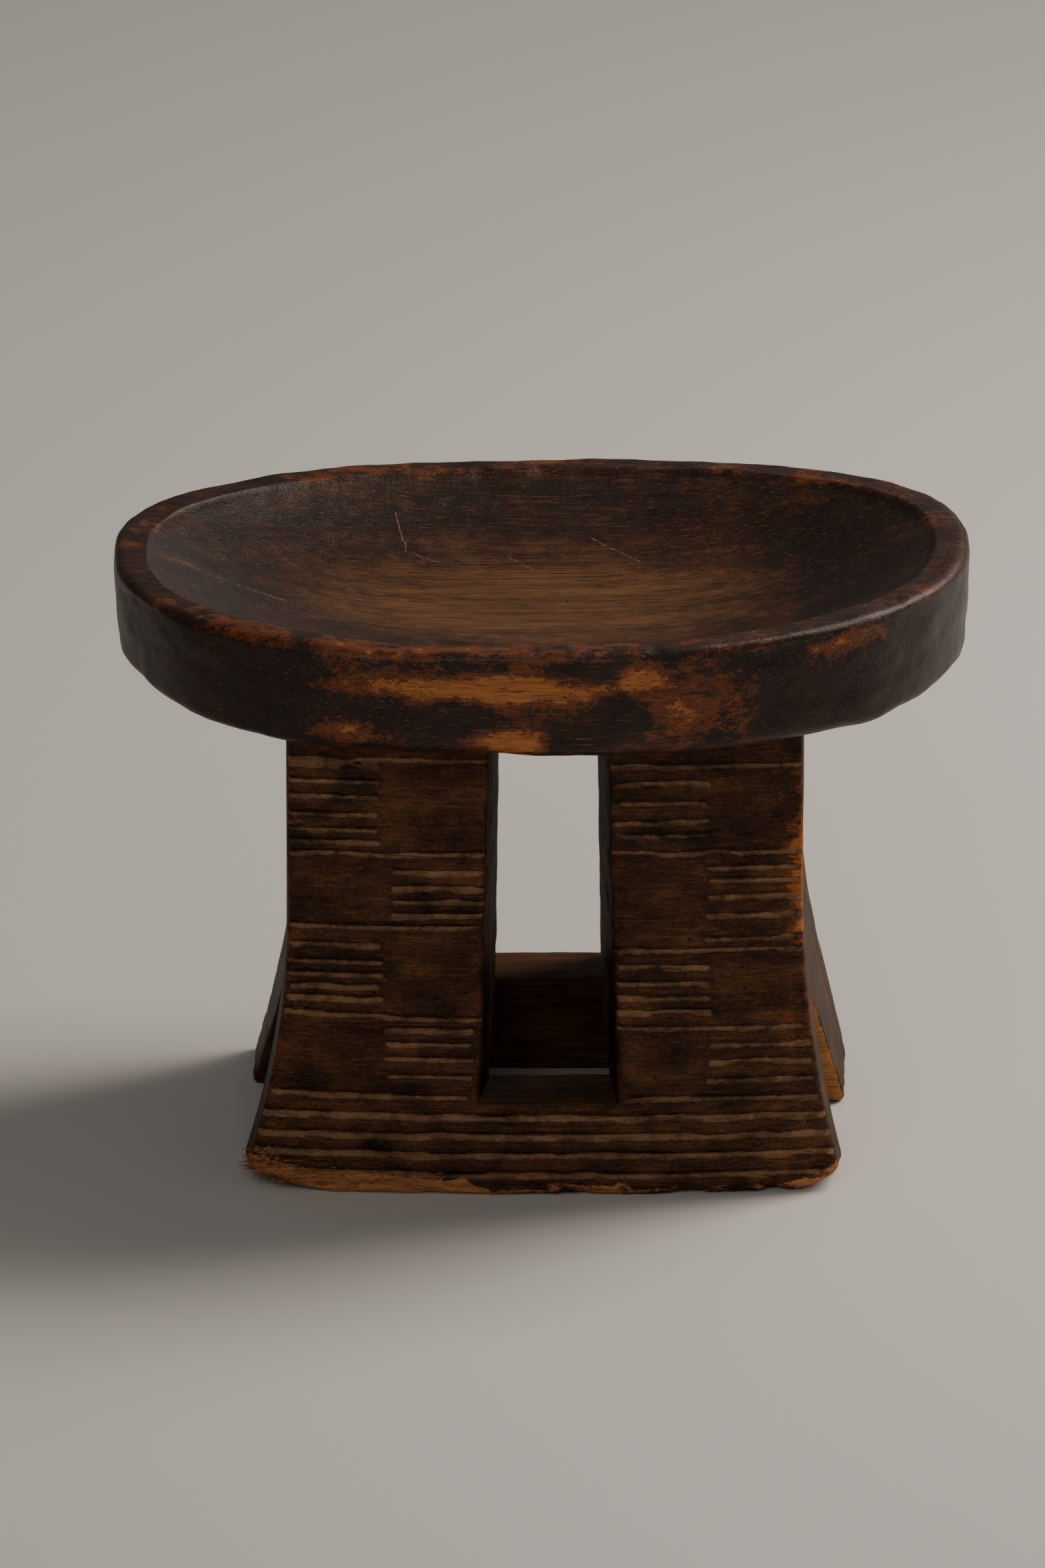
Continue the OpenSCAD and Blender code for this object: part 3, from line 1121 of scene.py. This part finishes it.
    def window(self, x: np.ndarray, y: np.ndarray, z: np.ndarray) -> np.ndarray:
        """Distance to the passage between the posts, negative inside it."""
        past_waist = np.abs(y) - self.waist_reach
        deep = np.clip(past_waist / (self.half_depth - self.waist_reach), 0, 1.1)
        high = np.clip((z - self.sill_height) / (self.top - self.sill_height), 0, 1)
        mouth = self.mouth_bottom + (self.mouth_top - self.mouth_bottom) * high
        waist = self.waist_bottom + (self.waist_top - self.waist_bottom) * high
        half = (waist + (mouth - waist) * deep) / 2
        ragged = wander((np.sign(x) * 3.5, y, z), (1, 28, 11), 41, 2) * (0.35 + 0.75 * deep)
        floor = self.sill_height - 0.8 + 0.4 * wander((x, y, 0.5), (14, 9, 1), 42, 2)
        return np.maximum(np.abs(x - self.window_middle) - half + ragged, floor - z)

    def well(self, x: np.ndarray, y: np.ndarray, z: np.ndarray) -> np.ndarray:
        """Distance to the open space between the sills, negative inside it."""
        inner = self.half_depth - self.sill_depth
        along = np.abs(x - self.window_middle) - self.mouth_bottom / 2 + 1.5
        across = np.abs(y) - np.where(y < 0, inner - self.front_sill_extra, inner)
        across = across + 0.5 * wander((x, 0.5, z), (13, 1, 11), 43, 2)
        return np.maximum(np.maximum(along, across), z - self.sill_height - 1.5)

    def bottom(self, x: np.ndarray, y: np.ndarray) -> np.ndarray:
        """Height of the worn underside above the floor: the outer corners have gone."""
        front = smoothstep(-40.0, -72.0, y)
        left = np.clip((-x - 80) / 34, 0, 1.1) ** 1.4 * 8.5
        right = np.clip((x - 96) / 18, 0, 1.1) ** 1.5 * 7.0
        edge = smoothstep(16.0, 0.0, self.reach(x) - np.abs(y))
        chips = np.clip(wander((x, y, 0.5), (11, 7, 1), 44, 2) - 0.1, 0, 1) * 2.6 * edge
        back = smoothstep(60.0, 78.0, y) * np.clip((np.abs(x) - 100) / 16, 0, 1) ** 1.5 * 3.0
        return front * (left + right) + chips + back

    def carve(self, volume: Volume) -> tuple[np.ndarray, ...]:
        """Computes the distance to the carved surface at every sample point.

        Args:
            volume: gives the sample points.

        Returns:
            The field, then dust and painted shadow lines of the front lines and of the back lines.
        """
        x, y, z = volume.x, volume.y, volume.z
        lines = self.front_lines()
        front_cut, front_dust, front_shadow_line = self.cut_map(volume, lines, 100)
        back_cut, back_dust, back_shadow_line = self.cut_map(volume, lines, 900)
        place_on = (x, 0.5, z)
        hewn = [
            0.4 * wander(place_on, (21, 1, 13), seed, 2) + 0.1 * wander(place_on, (5, 1, 4), seed + 1)
            for seed in (51, 53)
        ]
        planed = [0.45 * wander((0.5, y, z), (1, 9, 55), seed, 2) for seed in (55, 56)]
        # Edges are rubbed unevenly, so the width of their rounding wanders along them.
        rubbed_z = np.clip(3.4 + 1.8 * wander((0.5, 0.5, z), (1, 1, 12), 57, 2), 1.5, 6)
        rubbed_x = np.clip(3.5 + 2.2 * wander((x, 0.5, 0.5), (12, 1, 1), 58, 2), 1.5, 7)

        front = -y - self.reach(x) + front_cut + hewn[0] + 0.6
        back = y - self.reach(x) + back_cut + hewn[1] + 0.6
        # The block isn't square: from front to back the left side draws in and the right goes out.
        back_share = np.clip((y + self.half_depth) / (2 * self.half_depth), 0, 1)
        goes_out = self.right_goes_out * back_share * smoothstep(75, 20, z)
        left = -x - self.half_width(z, False) + planed[0] + self.left_draws_in * back_share
        right = x - self.half_width(z, True) + planed[1] - goes_out
        faces = smooth_max(front, back, 2.0)
        sides = smooth_max(left, right, 2.0)
        body = smooth_max(faces, sides, rubbed_z)
        body = smooth_max(body, self.bottom(x, y) - z, rubbed_x)
        body = np.maximum(body, z - self.top)
        body = smooth_max(body, -self.window(x, y, z), rubbed_z)
        body = smooth_max(body, -self.well(x, y, z), 3.0)
        body = smooth_max(body, -self.arch(x, y, z), 2.6)
        return body.astype(np.float32), front_dust, front_shadow_line, back_dust, back_shadow_line

    def surface(self) -> bpy.types.Mesh:
        """Makes the whole stand as one closed skin with its surface numbers.

        Returns:
            The mesh of the stand, with attributes wear, groove, bare, used, shade and torn.
        """
        margin = 3 * self.step
        low = np.array([-self.half_foot - margin, -self.half_depth - margin, -margin])
        high = np.array([self.half_foot + margin, self.half_depth + margin, self.top + margin])
        volume = Volume(low, high, self.step)
        body, front_dust, front_shadow_line, back_dust, back_shadow_line = self.carve(volume)
        volume.mend(body)
        points, faces = volume.skin(body)
        # Two steps along the slope bring each vertex onto the surface.
        slopes = [volume.sample(g, points) for g in np.gradient(body, self.step)]
        slope = np.stack(slopes, axis=1)
        length = np.maximum(np.linalg.norm(slope, axis=1), 0.3)
        for _ in range(2):
            off = volume.sample(body, points) / length
            points = points - (slope / length[:, None]) * np.clip(off, -0.4, 0.4)[:, None]
        normal = slope / length[:, None]
        points[:, 2] = np.clip(points[:, 2], 0.0, self.top)

        soft = np.clip(body, -6, 6)
        for axis in range(3):
            soft = blurred(soft, axis, max(1, round(3.2 / self.step)))
        sharp = volume.sample(soft, points)
        on_faces = []
        for side, face_dust, face_shadow_line in ((-1, front_dust, front_shadow_line), (1, back_dust, back_shadow_line)):
            on_face = smoothstep(8.0, 4.0, self.reach(points[:, 0]) - side * points[:, 1])
            facing = smoothstep(0.2, 0.6, side * normal[:, 1])
            dust = volume.sample(face_dust, points) * facing * on_face
            on_faces.append((on_face, dust, volume.sample(face_shadow_line, points) * on_face))
        mesh = new_mesh("stand_skin", points, faces.tolist())
        self.mark(mesh, points, normal, sharp, on_faces)
        return mesh

    def mark(
        self,
        mesh: bpy.types.Mesh,
        points: np.ndarray,
        normal: np.ndarray,
        sharp: np.ndarray,
        on_faces: Sequence[Sequence[np.ndarray]],
    ) -> None:
        """Stores where the wood is rubbed, dusty, bare, handled and torn, and painted light and shade.

        Args:
            mesh: the mesh that receives the marks.
            points: its vertices.
            normal: which way the surface faces at each of them.
            sharp: how far each stands out from the wood around it.
            on_faces: for the front and the back, how far each vertex belongs to that face, and
            the dust and the painted shadow line of its lines.
        """
        x, y, z = points.T
        (on_front, front_dust, front_shadow_line), (on_back, back_dust, back_shadow_line) = on_faces
        groove, shadow_lines = front_dust + back_dust, front_shadow_line + back_shadow_line
        patchy = 0.5 + 0.5 * wander((x, y, z), (16, 16, 13), 61, 2)

        # Edges are rubbed, most of all the upright outer ones, and more on the right.
        edge = smoothstep(0.3, 1.0, sharp) * (1 - 0.7 * groove)
        outer = smoothstep(80.0, 96.0, np.abs(x)) * smoothstep(20.0, 45.0, z)
        wear = edge * (0.04 + 0.13 * patchy * outer * np.where(x > 0, 1.0, 0.5)) + 0.03
        # The outer front edge of the right post has lost small flakes between the cut lines.
        inward = 4.5 * wander((0.5, 0.5, z), (1, 1, 7), 63, 3)
        flaked = smoothstep(90.0, 99.0, x + inward)
        flaked = flaked * smoothstep(92.0, 102.0, z) * smoothstep(166.0, 146.0, z)
        right = smoothstep(86.0, 100.0, x) * smoothstep(50.0, 80.0, z) * 0.12
        left = smoothstep(-60.0, -100.0, x) * smoothstep(40.0, 60.0, z) * 0.05
        wear = wear + on_front * flaked * 0.27 * (0.4 + 0.6 * patchy) * (1 - 0.8 * groove)
        wear = wear + on_front * (right + left) * patchy

        # Bare wood shows in the arch, along the ragged bottom edge and where it has torn away.
        in_arch = smoothstep(1.8, 0.6, np.abs(self.arch(x, y, z)))
        in_arch = in_arch * smoothstep(38.0, 44.0, np.abs(x))
        ragged_top = 4.5 + 3.5 * wander((x, 0.5, 0.5), (15, 1, 1), 62, 3)
        low_edge = smoothstep(ragged_top + 1.5, ragged_top - 1.5, z) * (on_front + on_back)
        torn_run = smoothstep(13.0, 6.0, z + 0.05 * np.abs(x + 70))
        torn_run = torn_run * smoothstep(-22.0, -34.0, x) * on_front
        left_corner, right_corner = (
            smoothstep(1.3, 0.4, np.hypot((x - at_x) / reach_x, (z - at_z) / reach_z)) * on_front
            for at_x, at_z, reach_x, reach_z in ((-112, 7, 25, 12), (113, 5, 15, 9))
        )
        bare = in_arch * np.where(x < 0, 0.38, 0.8) + np.where(x < -20, 0.8, 0.58) * low_edge
        bare = np.clip(bare + 0.8 * torn_run + 0.7 * left_corner + 0.6 * right_corner, 0, 1)
        torn = np.clip(left_corner + 0.35 * torn_run, 0, 1) * smoothstep(1.2, 2.5, z)

        # Painted light: the sills' tops and the well are lightened, besides handled patches on the
        # front faces.
        set_back_shade = smoothstep(4.0, 9.0, self.reach(x) - np.abs(y))
        inner = smoothstep(60.0, 50.0, np.abs(y)) * smoothstep(45.0, 35.0, np.abs(x))
        sill_top_painted_light = smoothstep(24.0, 30.0, z) * smoothstep(44.0, 40.0, z)
        sill_top_painted_light = sill_top_painted_light * smoothstep(0.5, 0.9, normal[:, 2])
        used = 0.3 * on_front * patchy + 0.7 * np.maximum(inner, 0.8 * sill_top_painted_light)
        # Painted shade: faces set back from the front and back, the window's walls and a line along
        # the upper edge of each cut are darkened.
        window_painted_shade = smoothstep(2.5, 0.8, np.abs(self.window(x, y, z))) * smoothstep(38.0, 44.0, z)
        shade = 0.03 * set_back_shade * (1 - in_arch) + 0.13 * shadow_lines + 0.12 * window_painted_shade * set_back_shade
        set_attributes(mesh, wear=wear, groove=groove, bare=bare, used=used, shade=shade, torn=torn)

    def build(self, post_wood: CarvedHardwood, foot_wood: CarvedHardwood) -> None:
        """Makes the stand, parts it into its members and puts them in the scene.

        Args:
            post_wood: finish of the two posts.
            foot_wood: finish of the sills and feet.
        """
        post_material, foot_material = post_wood.build(), foot_wood.build()
        whole = bmesh.new()
        whole.from_mesh(self.surface())
        feet, posts = part_solid(whole, (0, 0, self.sill_height), (0, 0, 1))
        left_feet, rest = part_solid(feet, (self.split_left, 0, 0), (1, 0, 0))
        sills, right_feet = part_solid(rest, (self.split_right, 0, 0), (1, 0, 0))
        middle = self.window_middle * MM
        arch = self.arch_middle * MM
        members: list[tuple[str, bmesh.types.BMesh, Callable[[Vector], bool], str]] = [
            ("left_post", posts, lambda c: c.x < middle, "stand_wood"),
            ("right_post", posts, lambda c: c.x >= middle, "stand_wood"),
            ("front_left_foot", left_feet, lambda c: c.y < arch, "foot_wood"),
            ("back_left_foot", left_feet, lambda c: c.y >= arch, "foot_wood"),
            ("front_right_foot", right_feet, lambda c: c.y < arch, "foot_wood"),
            ("back_right_foot", right_feet, lambda c: c.y >= arch, "foot_wood"),
            ("front_sill", sills, lambda c: c.y < arch, "foot_wood"),
            ("back_sill", sills, lambda c: c.y >= arch, "foot_wood"),
        ]
        for node, solid, wanted, slot in members:
            mesh = bpy.data.meshes.new(node + "_carved")
            kept = solid.copy()
            unwanted = [f for f in kept.faces if not wanted(f.calc_center_bounds())]
            bmesh.ops.delete(kept, geom=unwanted, context="FACES")
            kept.to_mesh(mesh)
            kept.free()
            mesh.materials.append(post_material if slot == "stand_wood" else foot_material)
            if node == "front_left_foot":
                fibres = TornFibres().grow(mesh, foot_material)
            place(mesh, node + "_carved", [node])
        place(fibres, "torn_fibres", [])


@dataclass
class TornFibres:
    """Splinters of bare wood that stand out along the grain where a corner has torn away."""

    density: float = 0.55
    length: float = 4.2
    thickness: float = 0.28
    spread: float = 0.42
    seed: int = 7

    def tree(self) -> bpy.types.NodeTree:
        """Builds the geometry nodes that set a splinter on each torn spot.

        Returns:
            A node tree whose input geometry is the torn surface.
        """
        numbers = ("Density", "Length", "Thickness", "Spread")
        sockets = {"Surface": "Geometry"} | dict.fromkeys(numbers, "Float")
        tree = new_tree("torn_fibres", sockets | {"Seed": "Int", "Material": "Material"}, "Fibres")
        node = partial(add_node, tree)
        start = node("NodeGroupInput").outputs
        torn = node("GeometryNodeInputNamedAttribute", {"Name": "torn"}, data_type="FLOAT")
        density = node("ShaderNodeMath", {0: torn, 1: start["Density"]}, operation="MULTIPLY")
        spots = node(
            "GeometryNodeDistributePointsOnFaces",
            {"Mesh": start["Surface"], "Density": density, "Seed": start["Seed"]},
            distribute_method="RANDOM",
        )
        radii = {"Radius Top": 0.0, "Radius Bottom": start["Thickness"]}
        cone = {"Vertices": 5, "Depth": start["Length"], **radii}
        splinter = node("GeometryNodeMeshCone", cone, fill_type="NGON")
        either_way = {0: (-1.0, -1.0, -1.0), 1: (1.0, 1.0, 1.0)}
        turn = node("FunctionNodeRandomValue", either_way, data_type="FLOAT_VECTOR")
        turn = node("ShaderNodeVectorMath", {0: turn, "Scale": start["Spread"]}, operation="SCALE")
        turn = node("ShaderNodeVectorMath", {0: turn, 1: (0.0, -math.pi / 2, 0.0)}, operation="ADD")
        size = node("FunctionNodeRandomValue", {2: 0.4, 3: 1.25}, data_type="FLOAT")
        where = {"Points": spots.outputs["Points"], "Rotation": turn, "Scale": size}
        grown = node("GeometryNodeInstanceOnPoints", {**where, "Instance": splinter})
        whole = node("GeometryNodeRealizeInstances", {"Geometry": grown})
        dressing = {"Geometry": whole, "Material": start["Material"]}
        dressed = node("GeometryNodeSetMaterial", dressing)
        node("NodeGroupOutput", {"Fibres": dressed})
        return tree

    def grow(self, surface: bpy.types.Mesh, wood: bpy.types.Material) -> bpy.types.Mesh:
        """Grows the splinters on a torn surface.

        Args:
            surface: the mesh whose torn attribute says where they grow.
            wood: the wood's material.

        Returns:
            The splinters, as one mesh of closed cones.
        """
        host = bpy.data.objects.new("torn_surface", surface)
        bpy.context.scene.collection.objects.link(host)
        values = {
            "Density": self.density / MM**2,
            "Length": self.length * MM,
            "Thickness": self.thickness * MM,
            "Spread": self.spread,
            "Seed": self.seed,
            "Material": wood,
        }
        mesh = run_tree(host, self.tree(), values)
        bpy.data.objects.remove(host)
        points = get_points(mesh)
        points[:, 2] = np.maximum(points[:, 2], 0.1)
        put_points(mesh, points)
        mesh.shade_smooth()
        none = np.zeros(len(points))
        set_attributes(mesh, wear=none, groove=none, bare=none + 1, used=none, shade=none)
        return mesh


def blurred(values: np.ndarray, axis: int, reach: int) -> np.ndarray:
    """Averages a field over its neighbours along one axis.

    Args:
        values: the field.
        axis: the axis to average along.
        reach: how many neighbours on each side count.

    Returns:
        The averaged field, of the same shape.
    """
    padding = [(reach + 1, reach) if k == axis else (0, 0) for k in range(3)]
    total = np.cumsum(np.pad(values, padding, mode="edge"), axis=axis, dtype=np.float32)
    size = values.shape[axis]
    width = 2 * reach + 1
    ahead = np.take(total, np.arange(width, width + size), axis=axis)
    behind = np.take(total, np.arange(0, size), axis=axis)
    return (ahead - behind) / width


def part_solid(
    solid: bmesh.types.BMesh, point: Sequence[float], normal: Sequence[float]
) -> tuple[bmesh.types.BMesh, bmesh.types.BMesh]:
    """Cuts a closed solid with a plane into two closed solids.

    Args:
        solid: the solid, left as it is.
        point: a point of the plane, in millimetres.
        normal: the plane's normal.

    Returns:
        The solid behind the plane and the solid ahead of it.
    """
    halves = []
    for ahead in (False, True):
        half = solid.copy()
        cut = bmesh.ops.bisect_plane(
            half,
            geom=half.verts[:] + half.edges[:] + half.faces[:],
            dist=1e-8,
            plane_co=Vector(point) * MM,
            plane_no=Vector(normal),
            clear_outer=not ahead,
            clear_inner=ahead,
        )
        rim = [e for e in cut["geom_cut"] if isinstance(e, bmesh.types.BMEdge)]
        for edge in rim:
            edge.smooth = False
        made = bmesh.ops.edgeloop_fill(half, edges=rim)
        bmesh.ops.recalc_face_normals(half, faces=half.faces[:])
        for face in made["faces"]:
            face.smooth = False
        halves.append(half)
    return halves[0], halves[1]


# ---------------------------------------------------------------------------------------------
# The studio
# ---------------------------------------------------------------------------------------------


@dataclass(frozen=True)
class Lamp:
    """A large soft lamp, placed by its direction from the object."""

    name: str
    around: float
    above: float
    distance: float
    width: float
    height: float
    power: float
    colour: str = "#FFFFFF"


@dataclass
class Studio:
    """The pale floor, the soft lamps and the camera."""

    camera_height_angle: float = 20.0
    camera_distance: float = 9000.0
    lens: float = 538.2
    aim: tuple[float, float, float] = (-7.2, 0.0, 137.3)
    floor_half: float = 12000.0
    lamps: tuple[Lamp, ...] = (
        Lamp("tall_window", 66.0, 44.0, 1800.0, 800.0, 1600.0, 38.0, "#FFF6EC"),
        Lamp("far_window", 14.0, 17.0, 2400.0, 700.0, 700.0, 0.8, "#FFFAF4"),
        Lamp("front_fill", 192.0, 30.0, 2400.0, 1500.0, 1200.0, 10.5, "#FFFBF4"),
    )

    def floor(self) -> None:
        """Lays a matt, pale painted floor under the object."""
        half = self.floor_half
        points = np.array([[-half, -half, 0], [half, -half, 0], [half, half, 0], [-half, half, 0]])
        mesh = new_mesh("floor", points, [(0, 1, 2, 3)])
        material = bpy.data.materials.new("matt_painted_floor")
        material.use_nodes = True
        tree = material.node_tree
        tree.nodes.clear()
        shader = add_node(
            tree, "ShaderNodeBsdfPrincipled", {"Base Color": linear("#CFCCC6"), "Roughness": 0.85}
        )
        add_node(tree, "ShaderNodeOutputMaterial", {"Surface": shader.outputs["BSDF"]})
        mesh.materials.append(material)
        floor = bpy.data.objects.new("floor", mesh)
        bpy.context.scene.collection.objects.link(floor)

    def light(self) -> None:
        """Hangs the lamps and sets the dim surround."""
        for lamp in self.lamps:
            data = bpy.data.lights.new(lamp.name, "AREA")
            data.shape = "RECTANGLE"
            data.size, data.size_y = lamp.width * MM, lamp.height * MM
            data.energy = lamp.power
            data.color = linear(lamp.colour)[:3]
            around, above = math.radians(lamp.around), math.radians(lamp.above)
            flat = math.cos(above)
            direction = Vector((math.sin(around) * flat, math.cos(around) * flat, math.sin(above)))
            rig = bpy.data.objects.new(lamp.name, data)
            rig.location = direction * lamp.distance * MM + Vector((0, 0, 0.12))
            rig.rotation_euler = (-direction).to_track_quat("-Z", "Y").to_euler()
            bpy.context.scene.collection.objects.link(rig)
        world = bpy.data.worlds.new("studio")
        world.use_nodes = True
        background = world.node_tree.nodes["Background"]
        background.inputs["Color"].default_value = linear("#E8E6E2")
        background.inputs["Strength"].default_value = 0.14
        bpy.context.scene.world = world

    def camera(self) -> None:
        """Sets a long lens at the viewing angle."""
        data = bpy.data.cameras.new("camera")
        data.lens = self.lens
        data.sensor_width = 36.0
        data.clip_end = 60.0
        angle = math.radians(self.camera_height_angle)
        back = Vector((0.0, -math.cos(angle), math.sin(angle)))
        camera = bpy.data.objects.new("camera", data)
        camera.location = Vector(self.aim) * MM + back * self.camera_distance * MM
        camera.rotation_euler = (-back).to_track_quat("-Z", "Y").to_euler()
        bpy.context.scene.collection.objects.link(camera)
        bpy.context.scene.camera = camera

    def build(self) -> None:
        """Sets up everything that isn't the object."""
        self.camera()
        self.floor()
        self.light()


def main() -> None:
    """Builds the studio, the dish and the stand."""
    logging.basicConfig(level=logging.INFO, format="%(name)s: %(message)s")
    Studio().build()
    scratches = (
        Scratch(-145.0, 51.0, -112.0, 27.0, 0.7, True),
        Scratch(-56.0, 84.0, -52.0, 62.0),
        Scratch(-52.0, 62.0, -39.0, 55.0),
        Scratch(19.0, 72.0, 38.0, 55.0),
        Scratch(-12.0, 60.0, -3.0, 50.0),
        Scratch(-140.0, 12.0, -96.0, 1.0, 0.5),
    )
    polished = CarvedHardwood(
        "polished_dark_hardwood",
        patina="#2E1A0F",
        patina_light="#4E2C18",
        rubbed="#70391B",
        polish=0.36,
        gloss=0.3,
        dashes=0.6,
        blotches=0.42,
        hole_spacing=13.0,
        scratches=scratches,
    )
    blackened = CarvedHardwood("blackened_hardwood")
    handled = CarvedHardwood("handled_dark_hardwood")
    Dish().build(polished)
    Stand().build(blackened, handled)


if __name__ == "__main__":
    main()
